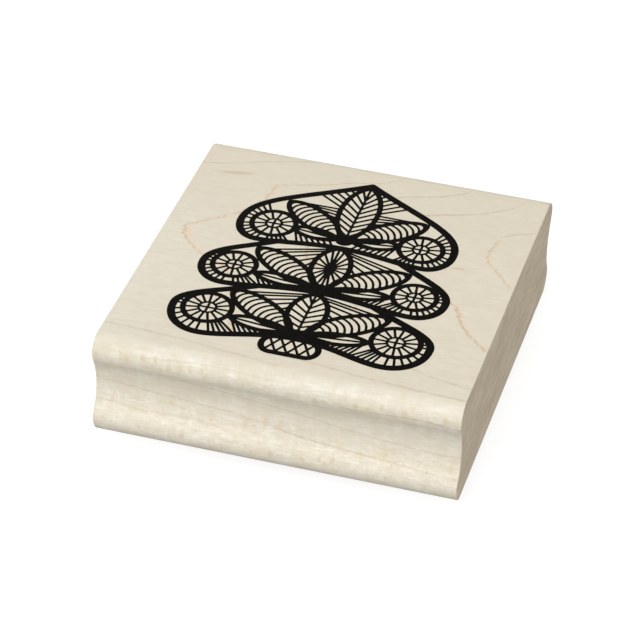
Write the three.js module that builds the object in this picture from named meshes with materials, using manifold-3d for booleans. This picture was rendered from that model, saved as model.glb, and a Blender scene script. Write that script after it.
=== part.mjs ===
// A wood-mounted rubber craft stamp: a block of grooved maple moulding with an index print on top and,
// under it, a foam cushion and a moulded rubber die, held together by two adhesive films.
//
// Units are millimetres and +Z is up. The stamp stands on its die: z = 0 is the printing plane, X runs
// along the wood's grain, and the grooved edges face -Y and +Y. The origin is under the block's middle.
import * as THREE from "three";
import { mergeVertices } from "three/addons/utils/BufferGeometryUtils.js";
import Module from "manifold-3d";

// ---- Driving dimensions ------------------------------------------------------------------------

const BLOCK_WIDTH = 63.5; // sawn length of the moulding, along X
const BLOCK_HEIGHT = 19.5;
const TOP_HALF = 31; // half depths of the moulding's features, from the middle plane
const SHOULDER_HALF = 31.9;
const BEAD_HALF = 34.25;
const THROAT_HALF = 33.84;
const GROOVE_HALF = 32.4;
const RISE_HALF = 33.4;
const BULGE_HALF = 34.4;
const BASE_HALF = 32.2;
const SHOULDER_LEVEL = 19.34; // heights of the same features above the wood's underside
const BEAD_LEVEL = 16.6;
const THROAT_LEVEL = 14.96;
const GROOVE_LEVEL = 9.6;
const RISE_LEVEL = 5.6;
const BULGE_LEVEL = 3.2;

const RELIEF_HEIGHT = 0.9; // the raised picture of the die
const SHEET_THICKNESS = 1.0; // the sheet of rubber that the picture stands on
const TAPE_THICKNESS = 0.1;
const CUSHION_THICKNESS = 1.6;
const INK_THICKNESS = 0.05;

const BOLD_LINE = 1.35; // line widths of the picture, at the size of the index print
const FIRM_LINE = 0.95;
const FINE_LINE = 0.46;
const TRUNK_LINE = 1.1;
const LEAF_STEPS = 8; // straight pieces in each edge of a leaf
const SMALLEST_GAP = 0.02; // a gap between lines below this area, in mm2, fills with ink
const STRAIGHT_WITHIN = 0.01; // a point this near the line between its neighbours is dropped
const FILLING_TURN = 0.3; // radians
const SECTION_STEPS = 6; // straight pieces in each curve of the moulding's section
const TRIM_POINTS = 96; // points round the trimmed rubber

const DIE_SCALE = 0.9; // the die's picture against the index print
const PICTURE_MIDDLE = new THREE.Vector2(0, -0.5);

// ---- Levels, from the printing plane up --------------------------------------------------------

const SHEET_LEVEL = RELIEF_HEIGHT;
const DIE_TAPE_LEVEL = SHEET_LEVEL + SHEET_THICKNESS;
const CUSHION_LEVEL = DIE_TAPE_LEVEL + TAPE_THICKNESS;
const MOUNT_TAPE_LEVEL = CUSHION_LEVEL + CUSHION_THICKNESS;
const WOOD_LEVEL = MOUNT_TAPE_LEVEL + TAPE_THICKNESS;
const INK_LEVEL = WOOD_LEVEL + BLOCK_HEIGHT;

// ---- Solids ------------------------------------------------------------------------------------

const wasm = await Module();
wasm.setup();

// A flat shape as a slab from one level up to another.
function slab(shape, bottom, top) {
  const geometry = new THREE.ExtrudeGeometry(shape, {
    depth: top - bottom,
    bevelEnabled: false,
    curveSegments: 1,
  });
  return geometry.translate(0, 0, bottom);
}

function toSolid(geometry) {
  const bare = geometry.clone();
  bare.deleteAttribute("normal");
  bare.deleteAttribute("uv");
  const welded = mergeVertices(bare, 1e-5);
  return new wasm.Manifold(
    new wasm.Mesh({
      numProp: 3,
      vertProperties: new Float32Array(welded.attributes.position.array),
      triVerts: new Uint32Array(welded.index.array),
    }),
  );
}

function toGeometry(solid) {
  const mesh = solid.getMesh();
  const geometry = new THREE.BufferGeometry();
  geometry.setAttribute("position", new THREE.BufferAttribute(mesh.vertProperties, 3));
  geometry.setIndex(new THREE.BufferAttribute(mesh.triVerts, 1));
  return geometry;
}

// Joins solids two by two, so that no single join has to carry all of the rest.
function joined(solids) {
  let layer = solids;
  while (layer.length > 1) {
    const next = [];
    for (let i = 0; i + 1 < layer.length; i += 2) next.push(layer[i].add(layer[i + 1]));
    if (layer.length % 2) next.push(layer.at(-1));
    layer = next;
  }
  return layer[0];
}

// ---- Lines and strokes of the picture ----------------------------------------------------------

const at = (x, y) => new THREE.Vector2(x, y);
const blend = (a, b, t) => a.clone().lerp(b, t);
const mirrored = (line) => line.map((p) => at(-p.x, p.y));

// A Bezier curve of any order, as points.
function bezier(points, steps) {
  const line = [];
  for (let i = 0; i <= steps; i++) {
    let layer = points;
    while (layer.length > 1) layer = layer.slice(1).map((p, k) => blend(layer[k], p, i / steps));
    line.push(layer[0]);
  }
  return line;
}

// The point at a share of a line's length.
function along(line, share) {
  const runs = [0];
  for (let i = 1; i < line.length; i++) runs.push(runs[i - 1] + line[i].distanceTo(line[i - 1]));
  const target = share * runs.at(-1);
  const next = Math.max(1, runs.findIndex((run) => run >= target - 1e-9));
  const t = (target - runs[next - 1]) / (runs[next] - runs[next - 1]);
  return blend(line[next - 1], line[next], t);
}

// Evenly spaced shares from first to last.
function shares(first, last, count) {
  const step = count > 1 ? (last - first) / (count - 1) : 0;
  return Array.from({ length: count }, (_, i) => first + step * i);
}

// The line moved sideways, with mitred corners.
function offsetLine(line, distance, closed) {
  const count = line.length;
  return line.map((p, i) => {
    const before = line[closed ? (i + count - 1) % count : Math.max(i - 1, 0)];
    const after = line[closed ? (i + 1) % count : Math.min(i + 1, count - 1)];
    const incoming = p.clone().sub(before);
    const outgoing = after.clone().sub(p);
    if (incoming.length() === 0) incoming.copy(outgoing);
    if (outgoing.length() === 0) outgoing.copy(incoming);
    const bisector = incoming.normalize().add(outgoing.normalize()).normalize();
    const mitre = distance / Math.max(bisector.dot(outgoing), 0.4);
    return at(p.x - bisector.y * mitre, p.y + bisector.x * mitre);
  });
}

// A stroke is the flat shape that a pen of this width leaves along the line.
function strokeShape(line, width, closed) {
  const leftward = THREE.ShapeUtils.isClockWise(line) ? [...line].reverse() : line;
  const inner = offsetLine(leftward, width / 2, closed);
  const outer = offsetLine(leftward, -width / 2, closed);
  if (!closed) return new THREE.Shape([...inner, ...outer.reverse()]);
  const shape = new THREE.Shape(outer);
  shape.holes.push(new THREE.Path(inner));
  return shape;
}

// ---- The picture: a generic fir tree of three tiers, each with leaves and a spoked wheel --------

const FILLS = {
  // Curved bars across the leaf.
  arcs({ base, tip, left, right, count }) {
    const lift = tip.clone().sub(base).multiplyScalar(0.13);
    return shares(0.2, 0.82, count).map((s) => {
      const start = along(left, s);
      const end = along(right, s);
      return bezier([start, blend(start, end, 0.5).add(lift), end], 3);
    });
  },
  // A midrib alone.
  rib({ base, tip }) {
    return [[base, tip]];
  },
  // A midrib with slanting veins.
  veins({ base, tip, left, right, count }) {
    const veins = shares(0.14, 0.8, count).flatMap((s) => {
      const root = blend(base, tip, s - 0.08);
      return [left, right].map((edge) => [root, along(edge, s + 0.08)]);
    });
    return [[base, tip], ...veins];
  },
  // Lines from the leaf's heart to its edges.
  rays({ base, tip, left, right, count }) {
    const heart = blend(base, tip, 0.5);
    const rays = shares(0.1, 0.9, count).flatMap((s) => [along(left, s), along(right, s)]);
    return [[base, tip], ...rays.map((end) => [heart, end])];
  },
};

class Picture {
  constructor() {
    this.strokes = [];
  }

  stroke(line, width, closed = false) {
    this.strokes.push({ line, width, closed });
  }

  // The same stroke on both sides of the tree.
  pair(line, width, closed = false) {
    this.stroke(line, width, closed);
    this.stroke(mirrored(line), width, closed);
  }

  // A pointed leaf from base to tip; a leaf on the tree's middle line is drawn once.
  leaf(base, tip, half, fill, count) {
    const run = tip.clone().sub(base);
    const out = at(-run.y, run.x).normalize().multiplyScalar((half * 4) / 3);
    const near = blend(base, tip, 0.18);
    const far = blend(base, tip, 0.86);
    const left = bezier([base, near.clone().add(out), far.clone().add(out), tip], LEAF_STEPS);
    const right = bezier([base, near.clone().sub(out), far.clone().sub(out), tip], LEAF_STEPS);
    const draw = (base.x === 0 ? this.stroke : this.pair).bind(this);
    draw([...right, ...left.slice(1, -1).reverse()], FIRM_LINE, true);
    for (const line of FILLS[fill]({ base, tip, left, right, count })) draw(line, FINE_LINE);
    return { left, right };
  }

  ring(centre, radius, width, steps) {
    const line = shares(0, 1, steps + 1)
      .slice(0, -1)
      .map((s) => at(radius, 0).rotateAround(at(0, 0), s * 2 * Math.PI).add(centre));
    this.pair(line, width, true);
  }

  // A wheel with a hub and spokes, tied to the tier's rim by short rungs.
  wheel(centre, radius, spokes, rim) {
    const core = radius * 0.36;
    this.ring(centre, radius, FIRM_LINE, 16);
    this.ring(centre, core, FINE_LINE, 8);
    const reach = (angle, from, to) =>
      [from, to].map((r) => at(r, 0).rotateAround(at(0, 0), angle).add(centre));
    for (let k = 0; k < spokes; k++) {
      this.pair(reach((2 * Math.PI * (k + 0.5)) / spokes, core, radius), FINE_LINE);
    }
    for (const end of rim) {
      const angle = end.clone().sub(centre).angle();
      this.pair([reach(angle, 0, radius)[1], end], FINE_LINE);
    }
  }

  // Straight lines between two lines.
  hatch(from, fromSpan, to, toSpan, count) {
    const starts = shares(...fromSpan, count);
    const ends = shares(...toSpan, count);
    starts.forEach((s, i) => this.pair([along(from, s), along(to, ends[i])], FINE_LINE));
  }

  // A filled spot where many lines meet.
  knot(centre, radius) {
    const square = at(0, radius * 0.6);
    this.stroke([centre.clone().sub(square), centre.clone().add(square)], radius * 1.7);
    const flat = at(radius * 0.6, 0);
    this.stroke([centre.clone().sub(flat), centre.clone().add(flat)], radius * 1.7);
  }

  // One tier's outline, and the three stretches of its right half.
  tierOutline({ top, neck, wide, lobe, mid }) {
    const drop = top - wide.y;
    const side = bezier(
      [
        at(neck, top),
        at(neck + 0.55 * (wide.x - neck), top - 0.42 * drop),
        at(wide.x + 0.2, wide.y + 0.42 * drop),
        wide,
      ],
      8,
    );
    const turn = bezier(
      [
        wide,
        at(wide.x, wide.y - 0.62 * (wide.y - lobe.y)),
        at(lobe.x + 0.52 * (wide.x - lobe.x), lobe.y),
        lobe,
      ],
      6,
    );
    const under = bezier([lobe, at(lobe.x - 4.5, lobe.y), at(lobe.x * 0.42, mid), at(0, mid)], 8);
    const half = [...side, ...turn.slice(1), ...under.slice(1)];
    const closed = neck === 0;
    const back = mirrored(half.slice(closed ? 1 : 0, -1)).reverse();
    this.stroke([...half, ...back], BOLD_LINE, closed);
    return { side, turn, under };
  }

  tier({ outline, heart, arm, blade, wheel, knot, crown, skirt }) {
    const { side, turn, under } = this.tierOutline(outline);
    const centre = this.leaf(...heart);
    const upper = this.leaf(...arm);
    const lower = this.leaf(...blade);
    const rim = [
      ...shares(wheel.from, 0.97, 3).map((s) => along(side, s)),
      ...shares(0.2, 0.97, 4).map((s) => along(turn, s)),
      ...shares(0.16, 0.38, 3).map((s) => along(under, s)),
    ];
    this.wheel(wheel.centre, wheel.radius, wheel.spokes, rim);
    for (const { target, fromSpan, toSpan, count } of crown) {
      this.hatch(centre.right, fromSpan, { side, arm: upper.left }[target], toSpan, count);
    }
    this.hatch(lower.right, skirt.fromSpan, under, skirt.toSpan, skirt.count);
    this.knot(...knot);
  }

  trunk(top, foot, half) {
    const corner = bezier(
      [at(half, top), at(half + 2.1, top - 1.2), at(half + 1.2, foot), at(half - 0.7, foot)],
      6,
    );
    this.stroke([...corner, ...mirrored(corner).reverse()], TRUNK_LINE);
    for (const x of [-2, 2]) this.pair([at(x - 1.4, foot), at(x + 1.4, top + 0.3)], FINE_LINE);
  }
}

const TIERS = [
  {
    outline: { top: 26.9, neck: 0, wide: at(19.3, 9.3), lobe: at(15, 3.9), mid: 5.6 },
    heart: [at(0, 8.6), at(0, 26), 3.4, "veins", 5],
    arm: [at(1.4, 9), at(12.6, 17.4), 2.6, "arcs", 5],
    blade: [at(1.4, 8.2), at(9.6, 9.3), 1.45, "rib"],
    wheel: { centre: at(13.4, 9.6), radius: 3.9, spokes: 8, from: 0.76 },
    knot: [at(0, 8.3), 1.7],
    crown: [
      { target: "side", fromSpan: [0.6, 0.9], toSpan: [0.34, 0.1], count: 3 },
      { target: "arm", fromSpan: [0.4, 0.52], toSpan: [0.6, 0.92], count: 2 },
    ],
    skirt: { fromSpan: [0.2, 0.9], toSpan: [0.88, 0.5], count: 3 },
  },
  {
    outline: { top: 4.6, neck: 10.6, wide: at(21.6, -5.6), lobe: at(16.6, -10.9), mid: -8.8 },
    heart: [at(0, -7.6), at(0, 5.4), 3.3, "rays", 4],
    arm: [at(1.4, -6.8), at(13.6, 1.2), 2.6, "arcs", 5],
    blade: [at(1.4, -7.6), at(12, -6.4), 1.4, "rib"],
    wheel: { centre: at(16.1, -5), radius: 3.8, spokes: 8, from: 0.66 },
    knot: [at(0, -7.7), 1.5],
    crown: [{ target: "arm", fromSpan: [0.64, 0.95], toSpan: [0.44, 0.84], count: 3 }],
    skirt: { fromSpan: [0.45, 0.95], toSpan: [0.74, 0.44], count: 3 },
  },
  {
    outline: { top: -10.2, neck: 10.4, wide: at(22.4, -19.4), lobe: at(16, -26.3), mid: -23.1 },
    heart: [at(0, -21.8), at(0, -9.4), 3.3, "veins", 4],
    arm: [at(1.4, -20.8), at(13.8, -12.6), 2.6, "arcs", 5],
    blade: [at(1.4, -21.6), at(12, -20.4), 1.5, "rib"],
    wheel: { centre: at(16.5, -18.9), radius: 4.2, spokes: 8, from: 0.66 },
    knot: [at(0, -22), 1.6],
    crown: [{ target: "arm", fromSpan: [0.64, 0.95], toSpan: [0.44, 0.84], count: 3 }],
    skirt: { fromSpan: [0.35, 0.95], toSpan: [0.8, 0.44], count: 4 },
  },
];

const picture = new Picture();
for (const tier of TIERS) picture.tier(tier);
picture.trunk(-23.6, -27.9, 3.7);

// The outlines of a flat-topped solid, each turning left round its material and right round its gaps.
function topLoops(solid, top) {
  const { vertProperties: xyz, triVerts } = solid.getMesh();
  const onTop = (v) => Math.abs(xyz[3 * v + 2] - top) < 1e-6;
  const next = new Map();
  for (let i = 0; i < triVerts.length; i += 3) {
    const corners = [...triVerts.slice(i, i + 3)];
    if (!corners.every(onTop)) continue;
    corners.forEach((from, k) => {
      const to = corners[(k + 1) % 3];
      if (next.get(to)?.delete(from)) return;
      if (!next.has(from)) next.set(from, new Set());
      next.get(from).add(to);
    });
  }
  const loops = [];
  for (const [first, exits] of next) {
    while (exits.size) {
      const loop = [];
      for (let v = first; loop.length === 0 || v !== first; ) {
        loop.push(at(xyz[3 * v], xyz[3 * v + 1]));
        const [to] = next.get(v);
        next.get(v).delete(to);
        v = to;
      }
      loops.push(loop);
    }
  }
  return loops;
}

// Drops the points of a loop that lie on the straight run between their neighbours.
function straightened(loop) {
  const kept = [...loop];
  for (let i = 0; i < kept.length && kept.length > 3; ) {
    const before = kept[(i + kept.length - 1) % kept.length];
    const after = kept[(i + 1) % kept.length];
    const run = after.clone().sub(before);
    const step = kept[i].clone().sub(before);
    if (Math.abs(run.cross(step)) < run.length() * STRAIGHT_WITHIN) kept.splice(i, 1);
    else i++;
  }
  return kept;
}

// The picture as a slab between two levels, drawn at a scale about its middle. Its outlines are turned
// while they are filled with triangles, so that no two gaps lie level with each other.
function pictureSlab(scale, bottom, top) {
  const place = (p) => p.clone().sub(PICTURE_MIDDLE).multiplyScalar(scale).add(PICTURE_MIDDLE);
  const ink = joined(
    picture.strokes.map(({ line, width, closed }) =>
      toSolid(slab(strokeShape(line.map(place), width * scale, closed), 0, 1)),
    ),
  );
  const loops = topLoops(ink, 1)
    .map(straightened)
    .filter((loop) => Math.abs(THREE.ShapeUtils.area(loop)) > SMALLEST_GAP)
    .map((loop) => loop.map((p) => p.rotateAround(at(0, 0), FILLING_TURN)));
  const shape = new THREE.Shape(loops.find((loop) => !THREE.ShapeUtils.isClockWise(loop)));
  shape.holes = loops.filter(THREE.ShapeUtils.isClockWise).map((loop) => new THREE.Path(loop));
  return slab(shape, bottom, top).rotateZ(-FILLING_TURN);
}

// ---- The outline that the rubber, the cushion and the films are trimmed to ----------------------

const TRIM_HALF = [
  [0, 27.2],
  [9.5, 22],
  [18.4, 13.2],
  [19.4, 7.6],
  [18.6, 2.6],
  [20.6, -1.4],
  [21.4, -5.6],
  [20.2, -10.4],
  [20.7, -14],
  [22.1, -18.4],
  [20.2, -23.4],
  [14.6, -25.9],
  [7.6, -26.1],
  [0, -26.9],
];

function trimShape() {
  const half = TRIM_HALF.map(([x, y]) => new THREE.Vector3(x, y, 0));
  const back = TRIM_HALF.slice(1, -1).reverse().map(([x, y]) => new THREE.Vector3(-x, y, 0));
  const outline = new THREE.CatmullRomCurve3([...half, ...back], true, "centripetal");
  return new THREE.Shape(outline.getPoints(TRIM_POINTS).slice(0, -1).map((p) => at(p.x, p.y)));
}

// ---- Pieces ------------------------------------------------------------------------------------

// One edge of the moulding's section, from the flat top down round the bead and the groove to the foot.
function halfSection() {
  const edge = new THREE.Path();
  edge.moveTo(TOP_HALF, BLOCK_HEIGHT);
  edge.quadraticCurveTo(TOP_HALF + 0.45, BLOCK_HEIGHT, SHOULDER_HALF, SHOULDER_LEVEL);
  edge.bezierCurveTo(33.3, 18.85, BEAD_HALF, 18, BEAD_HALF, BEAD_LEVEL);
  edge.bezierCurveTo(BEAD_HALF, 15.9, 34, 15.23, THROAT_HALF, THROAT_LEVEL);
  edge.bezierCurveTo(33.08, 13.65, GROOVE_HALF, 11.8, GROOVE_HALF, GROOVE_LEVEL);
  edge.quadraticCurveTo(32.45, 7, RISE_HALF, RISE_LEVEL);
  edge.bezierCurveTo(34, 4.75, BULGE_HALF, 4.1, BULGE_HALF, BULGE_LEVEL);
  edge.bezierCurveTo(BULGE_HALF, 2, 33.6, 0.7, BASE_HALF, 0);
  return edge.getPoints(SECTION_STEPS);
}

function woodBlock() {
  const front = halfSection();
  const section = new THREE.Shape([...front, ...mirrored(front).reverse()]);
  const geometry = slab(section, -BLOCK_WIDTH / 2, BLOCK_WIDTH / 2);
  // The section's own axes become Y and Z, and its length becomes X.
  return geometry.rotateX(Math.PI / 2).rotateZ(Math.PI / 2).translate(0, 0, WOOD_LEVEL);
}

function rubberDie() {
  const relief = toSolid(pictureSlab(DIE_SCALE, 0, SHEET_LEVEL));
  const sheet = toSolid(slab(trimShape(), SHEET_LEVEL, DIE_TAPE_LEVEL));
  return toGeometry(sheet.add(relief));
}

const PIECES = {
  wood_mount: {
    geometry: woodBlock(),
    material: { color: 0xe6dfcd, roughness: 0.55 },
  },
  index_print: {
    geometry: pictureSlab(1, INK_LEVEL, INK_LEVEL + INK_THICKNESS),
    material: { color: 0x141413, roughness: 0.6 },
  },
  mount_tape: {
    geometry: slab(trimShape(), MOUNT_TAPE_LEVEL, WOOD_LEVEL),
    material: { color: 0xe9e6da, roughness: 0.4 },
  },
  foam_cushion: {
    geometry: slab(trimShape(), CUSHION_LEVEL, MOUNT_TAPE_LEVEL),
    material: { color: 0x77797b, roughness: 0.95 },
  },
  die_tape: {
    geometry: slab(trimShape(), DIE_TAPE_LEVEL, CUSHION_LEVEL),
    material: { color: 0xe9e6da, roughness: 0.4 },
  },
  rubber_die: {
    geometry: rubberDie(),
    material: { color: 0x8c2f2a, roughness: 0.75 },
  },
};

const stamp = new THREE.Group();
for (const [name, { geometry, material }] of Object.entries(PIECES)) {
  const mesh = new THREE.Mesh(geometry, new THREE.MeshStandardMaterial({ metalness: 0, ...material }));
  mesh.name = name;
  stamp.add(mesh);
}

export default stamp;
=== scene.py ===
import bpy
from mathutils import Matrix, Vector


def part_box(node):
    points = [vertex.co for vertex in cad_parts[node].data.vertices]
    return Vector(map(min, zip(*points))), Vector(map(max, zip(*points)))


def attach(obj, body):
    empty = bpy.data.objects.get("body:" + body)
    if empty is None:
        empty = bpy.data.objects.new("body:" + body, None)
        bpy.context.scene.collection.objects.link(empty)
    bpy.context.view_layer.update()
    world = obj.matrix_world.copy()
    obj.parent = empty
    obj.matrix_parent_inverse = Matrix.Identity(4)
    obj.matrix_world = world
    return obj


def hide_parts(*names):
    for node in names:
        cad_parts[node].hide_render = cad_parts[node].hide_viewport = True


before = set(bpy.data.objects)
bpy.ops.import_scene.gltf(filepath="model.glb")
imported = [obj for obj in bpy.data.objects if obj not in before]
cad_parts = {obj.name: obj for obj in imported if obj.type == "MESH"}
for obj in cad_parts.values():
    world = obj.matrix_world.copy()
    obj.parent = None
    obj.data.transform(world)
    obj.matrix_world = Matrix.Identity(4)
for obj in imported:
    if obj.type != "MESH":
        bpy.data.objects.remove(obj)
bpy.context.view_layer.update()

from math import cos, pi, radians, sin, tau

import bmesh
import bpy
import numpy as np
from mathutils import Matrix, Vector, noise
from mathutils.geometry import delaunay_2d_cdt

MM = 0.001

# ---- Camera -----------------------------------------------------------------------------------

AZIMUTH, ELEVATION, ROLL = radians(14.90), radians(34.94), radians(2.10)
CAMERA_DISTANCE = 0.5281
AIM = Vector((-0.00407, 0.01003, 0.0037))
LENS = 164.19


def make_camera():
    data = bpy.data.cameras.new("camera")
    data.lens = LENS
    data.sensor_width = 36
    camera = bpy.data.objects.new("camera", data)
    bpy.context.scene.collection.objects.link(camera)
    back = Vector((sin(AZIMUTH) * cos(ELEVATION), -cos(AZIMUTH) * cos(ELEVATION), sin(ELEVATION)))
    right = Vector((0, 0, 1)).cross(back).normalized()
    up = back.cross(right)
    turned = (cos(ROLL) * right + sin(ROLL) * up, cos(ROLL) * up - sin(ROLL) * right, back)
    axes = Matrix(turned).transposed()
    camera.matrix_world = Matrix.Translation(AIM + back * CAMERA_DISTANCE) @ axes.to_4x4()
    bpy.context.scene.camera = camera


make_camera()

# ---- Light, floor and tone --------------------------------------------------------------------

LAMPS = {  # name: (where from, strength, spread in degrees)
    "key": ((-0.13, -0.70, 0.70), 2.45, 34),
    "fill": ((0.95, -0.10, 0.34), 0.75, 60),
    "back": ((-0.55, 0.80, 0.24), 0.85, 60),
}
SKY = 0.36
BOUNCE = 0.49  # the light that comes up from the table


def make_light():
    """Soft lamps and an even surround, whose lower half stands for the light off the table."""
    for name, (source, strength, spread) in LAMPS.items():
        data = bpy.data.lights.new(name, "SUN")
        data.energy = strength
        data.angle = radians(spread)
        lamp = bpy.data.objects.new(name, data)
        lamp.rotation_euler = Vector(source).to_track_quat("Z", "Y").to_euler()
        bpy.context.scene.collection.objects.link(lamp)

    world = bpy.data.worlds.new("studio")
    world.use_nodes = True
    nodes, links = world.node_tree.nodes, world.node_tree.links
    height = nodes.new("ShaderNodeSeparateXYZ")
    links.new(nodes.new("ShaderNodeTexCoord").outputs["Generated"], height.inputs[0])
    level = nodes.new("ShaderNodeMapRange")
    for name, value in (("From Min", -0.1), ("From Max", 0.1), ("To Min", BOUNCE), ("To Max", SKY)):
        level.inputs[name].default_value = value
    links.new(height.outputs["Z"], level.inputs["Value"])
    links.new(level.outputs[0], nodes["Background"].inputs["Strength"])
    nodes["Background"].inputs["Color"].default_value = (1, 0.99, 0.965, 1)
    bpy.context.scene.world = world
    bpy.context.scene.view_settings.view_transform = "Standard"


make_light()

# ---- Procedural materials -----------------------------------------------------------------------


class Look:
    """A procedural material. Each method adds a node and returns its output; lengths are in mm."""

    def __init__(self, name, roughness=0.5, specular=0.5):
        self.material = bpy.data.materials.new(name)
        self.material.use_nodes = True
        self.tree = self.material.node_tree
        self.shader = self.tree.nodes["Principled BSDF"]
        self.shader.inputs["Roughness"].default_value = roughness
        self.shader.inputs["Specular IOR Level"].default_value = specular
        metres = {0: self.add("ShaderNodeTexCoord").outputs["Object"], "Scale": 1 / MM}
        self.place = self.add("ShaderNodeVectorMath", metres, operation="SCALE").outputs[0]
        parts = self.add("ShaderNodeSeparateXYZ", {0: self.place})
        self.x, self.y, self.z = parts.outputs

    def add(self, kind, inputs=None, **settings):
        node = self.tree.nodes.new(kind)
        for name, value in settings.items():
            setattr(node, name, value)
        for name, value in (inputs or {}).items():
            if isinstance(value, bpy.types.NodeSocket):
                self.tree.links.new(value, node.inputs[name])
            else:
                node.inputs[name].default_value = value
        return node

    def math(self, operation, *values):
        return self.add("ShaderNodeMath", dict(enumerate(values)), operation=operation).outputs[0]

    def joined(self, operation, values):
        """The values taken together by one operation, from the first to the last."""
        result = values[0]
        for value in values[1:]:
            result = self.math(operation, result, value)
        return result

    def total(self, *values):
        return self.joined("ADD", values)

    def product(self, *values):
        return self.joined("MULTIPLY", values)

    def most(self, *values):
        return self.joined("MAXIMUM", values)

    def vector(self, x, y, z):
        return self.add("ShaderNodeCombineXYZ", {0: x, 1: y, 2: z}).outputs[0]

    def scaled(self, *scale, shift=(0, 0, 0)):
        """The place, with each axis scaled, so that a pattern of size 1 has 1 / scale mm."""
        inputs = {0: self.place, 1: scale, 2: shift}
        return self.add("ShaderNodeVectorMath", inputs, operation="MULTIPLY_ADD").outputs[0]

    def noise(self, place, detail=2, roughness=0.5):
        inputs = {"Vector": place, "Scale": 1, "Detail": detail, "Roughness": roughness}
        return self.add("ShaderNodeTexNoise", inputs).outputs[0]

    def cells(self, place, stray=1.0):
        """Distance to the nearest of the cells' points, which stray from an even grid."""
        inputs = {"Vector": place, "Scale": 1, "Randomness": stray}
        return self.add("ShaderNodeTexVoronoi", inputs).outputs["Distance"]

    def ramp(self, value, low, high, at_low=0.0, at_high=1.0):
        """Smoothly from at_low to at_high as the value goes from low to high."""
        inputs = {"Value": value, 1: low, 2: high, 3: at_low, 4: at_high}
        return self.add("ShaderNodeMapRange", inputs, interpolation_type="SMOOTHSTEP").outputs[0]

    def line(self, value, low, high, at_low=0.0, at_high=1.0):
        """Evenly from at_low to at_high as the value goes from low to high."""
        inputs = {"Value": value, 1: low, 2: high, 3: at_low, 4: at_high}
        return self.add("ShaderNodeMapRange", inputs).outputs[0]

    def band(self, value, low, high, soft):
        """1 between low and high, falling to 0 over soft on both sides."""
        rise = self.ramp(value, low - soft, low)
        return self.product(rise, self.ramp(value, high, high + soft, 1.0, 0.0))

    def curve(self, value, points):
        """The smooth curve through points (value, result), both within 40 mm of the middle."""
        reach = 40
        node = self.add("ShaderNodeFloatCurve", {"Value": self.line(value, -reach, reach)})
        mapping = node.mapping
        mapping.extend = "EXTRAPOLATED"
        shape = mapping.curves[0].points
        spots = [((a + reach) / (2 * reach), (b + reach) / (2 * reach)) for a, b in points]
        shape[0].location, shape[1].location = spots[0], spots[-1]
        for spot in spots[1:-1]:
            shape.new(*spot)
        mapping.update()
        return self.line(node.outputs[0], 0.0, 1.0, -reach, reach)

    def mix(self, share, base, other):
        inputs = {0: share, 6: base, 7: other}
        return self.add("ShaderNodeMix", inputs, data_type="RGBA").outputs[2]

    def finish(self, color, roughness, bumps):
        """Feeds the shader. Each bump is a height from 0 to 1 and the height of 1 in mm."""
        feeds = {"Base Color": color}
        if roughness is not None:
            feeds["Roughness"] = roughness
        for height, size in bumps:
            inputs = {"Height": height, "Distance": size * MM}
            if "Normal" in feeds:
                inputs["Normal"] = feeds["Normal"]
            feeds["Normal"] = self.add("ShaderNodeBump", inputs).outputs[0]
        for name, value in feeds.items():
            self.tree.links.new(value, self.shader.inputs[name])
        return self.material


def tint(red, green, blue):
    return (red, green, blue, 1)


FLOOR_HALF = 3.0
FLOOR_GAP = 0.00005  # keeps the floor clear of the printing face
FLOOR_GREY = 0.24
FLOOR_GLOW = 0.84  # so that the floor is white, with only a faint shadow


def make_floor():
    mesh = bpy.data.meshes.new("floor")
    signs = [(-1, -1), (1, -1), (1, 1), (-1, 1)]
    corners = [(x * FLOOR_HALF, y * FLOOR_HALF, -FLOOR_GAP) for x, y in signs]
    mesh.from_pydata(corners, [], [(0, 1, 2, 3)])
    floor = bpy.data.objects.new("floor", mesh)
    bpy.context.scene.collection.objects.link(floor)
    look = Look("pale_floor", roughness=0.9, specular=0.1)
    look.shader.inputs["Base Color"].default_value = tint(FLOOR_GREY, FLOOR_GREY, FLOOR_GREY)
    look.shader.inputs["Emission Color"].default_value = tint(1, 1, 1)
    look.shader.inputs["Emission Strength"].default_value = FLOOR_GLOW
    mesh.materials.append(look.material)
    floor.visible_diffuse = False  # the surround already stands for the light off the table
    floor.visible_glossy = False


make_floor()

# ---- Maple ---------------------------------------------------------------------------------------


def levels_of(node):
    """The lowest and the highest level of a CAD node, in mm."""
    low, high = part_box(node)
    return low.z / MM, high.z / MM


WOOD_FOOT, WOOD_TOP = levels_of("wood_mount")
HALF_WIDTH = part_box("wood_mount")[1].x / MM

# Where growth rings come through the surface. Each has the points (run, across) of its line in mm, its
# width, the width of the peach stain on its inner side and its strength. ROUND and LONG lie on the top and
# run along Y and along X. EDGE lies on the moulded edges and runs along X, its heights from the foot up.
ROUND = [
    ([(-26, -11), (-20, -12), (-12, -14.5), (-7, -17), (-4, -22), (-2, -24.5), (0.3, -26.5), (2.5, -27.5),
      (4, -28), (5.5, -26.6), (8.5, -23), (12.5, -19), (17.5, -17), (22.3, -16)], 0.28, 1.5, 0.8),
    ([(-12, 7.5), (-10, 6.8), (-6, 5), (0, -4), (2.8, -5.6), (6, -5)], 0.30, 1.0, 0.8),
    ([(-18, 33), (-14.5, 29), (-12, 27), (-9, 25), (-6.5, 24), (-4.5, 22), (-1, 19.5)], 0.32, 1.2, 1.0),
    ([(2.5, 32), (4, 30), (6, 28.5), (8.5, 26.5), (10.5, 25.2), (12.5, 24.8), (15, 25.3), (17.5, 25.5)],
     0.26, 0.8, 0.8),
]
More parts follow.
